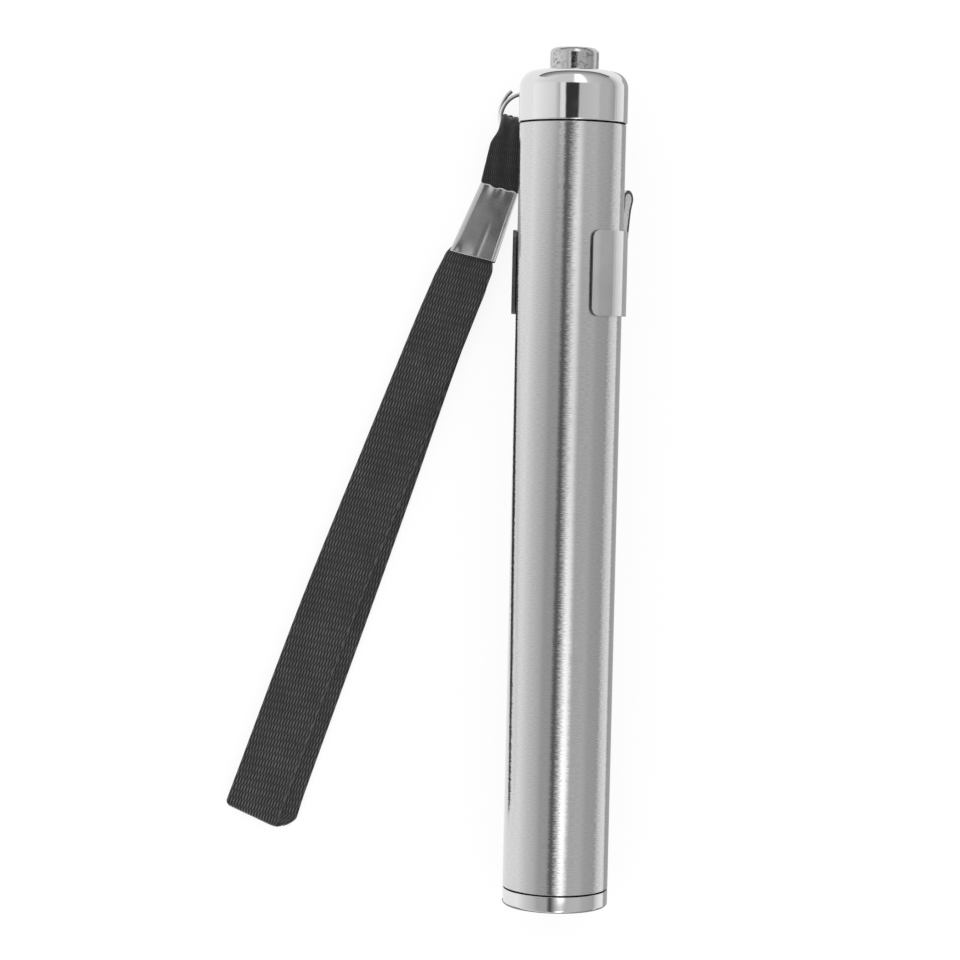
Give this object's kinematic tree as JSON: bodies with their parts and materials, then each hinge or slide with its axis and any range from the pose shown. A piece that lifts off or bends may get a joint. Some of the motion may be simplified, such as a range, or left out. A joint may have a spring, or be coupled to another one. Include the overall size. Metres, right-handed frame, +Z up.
{
  "type": "egg candler flashlight",
  "caption": "Slim round steel pen torch for candling eggs, with a tail push switch, a screw-off tail cap, a sprung pocket clip and a webbing wrist strap on a split ring.",
  "frame": {"origin": "on the table, under the middle of the torch's box without its strap", "axes": "+Z up from the table, +Y along the barrel towards the tail button as seen from above, +X to the right of that"},
  "size_m": [0.0554, 0.1177, 0.0183],
  "materials": {
    "brushed_steel": "fine circumferential brushing",
    "polished_steel": "polished",
    "spring_steel": "smooth, cold rolled",
    "brass": "plain",
    "aluminium": "turned",
    "mirror_coat": "mirror",
    "clear_lens": "clear",
    "lamp_phosphor": "translucent",
    "circuit_board": "matte",
    "black_rubber": "matte",
    "black_plastic": "moulded",
    "grey_plastic": "moulded",
    "cell_wrapper": "plain shrink wrapper",
    "black_webbing": "woven webbing"
  },
  "bodies": {
    "barrel": {"body_tube": "brushed_steel", "battery_sleeve": "grey_plastic", "threaded_bush": "brushed_steel", "head_bezel": "polished_steel", "head_o_ring": "black_rubber", "lens_gasket": "black_rubber", "lens": "clear_lens", "reflector": "mirror_coat", "led_emitter": "lamp_phosphor", "led_board": "circuit_board", "led_holder": "aluminium", "positive_contact": "brass", "insulator_ring": "black_plastic", "battery_front": "cell_wrapper", "battery_rear": "cell_wrapper", "lanyard_plate": "spring_steel"},
    "switch": {"switch_housing": "black_plastic", "switch_contact_plate": "brass", "switch_retaining_ring": "brass", "battery_spring": "spring_steel"},
    "cap": {"tail_cap": "polished_steel", "tail_o_ring": "black_rubber", "button_return_spring": "spring_steel"},
    "button": {"push_button": "polished_steel", "switch_plunger": "black_plastic"},
    "clip": {"clip_collar": "spring_steel"},
    "arm": {"clip_arm": "spring_steel"},
    "ring": {"split_ring": "spring_steel"},
    "strap": {"wrist_strap": "black_webbing", "strap_ferrule": "spring_steel"}
  },
  "joints": [
    {"name": "tail_cap_lift", "type": "slide", "parent": "barrel", "child": "switch", "axis": [0, 0.9995, 0.0325], "range_m": [0, 0.005]},
    {"name": "tail_cap_turn", "type": "hinge", "parent": "switch", "child": "cap", "pos_m": [0.00064, 0.04872, 0.01073], "axis": [0, 0.9995, 0.0325], "range_deg": [0, 1441]},
    {"name": "button_press", "type": "slide", "parent": "cap", "child": "button", "axis": [0, -0.9995, -0.0325], "range_m": [0, 0.0015], "stiffness_N_per_m": 450, "springref_m": -0.0008, "deforming": ["button_return_spring"]},
    {"name": "clip_slide", "type": "slide", "parent": "barrel", "child": "clip", "axis": [0, 0.9995, 0.0325], "range_m": [-0.05, 0.006]},
    {"name": "clip_flex", "type": "hinge", "parent": "clip", "child": "arm", "pos_m": [0.00549, 0.03895, 0.00325], "axis": [0.8281, -0.0182, 0.5603], "range_deg": [0, 6], "stiffness_Nm_per_rad": 1.9},
    {"name": "ring_swing", "type": "hinge", "parent": "barrel", "child": "ring", "pos_m": [-0.00287, 0.04834, 0.00223], "axis": [0, 0.9995, 0.0325], "range_deg": [-70, 20]},
    {"name": "strap_swing", "type": "hinge", "parent": "ring", "child": "strap", "pos_m": [-0.00695, 0.04964, 0.00223], "axis": [0, 0, 1], "range_deg": [-100, 12]}
  ],
  "couplings": [
    {"joint": "tail_cap_turn", "follows": "tail_cap_lift", "rad_per_m": 5026.5}
  ]
}
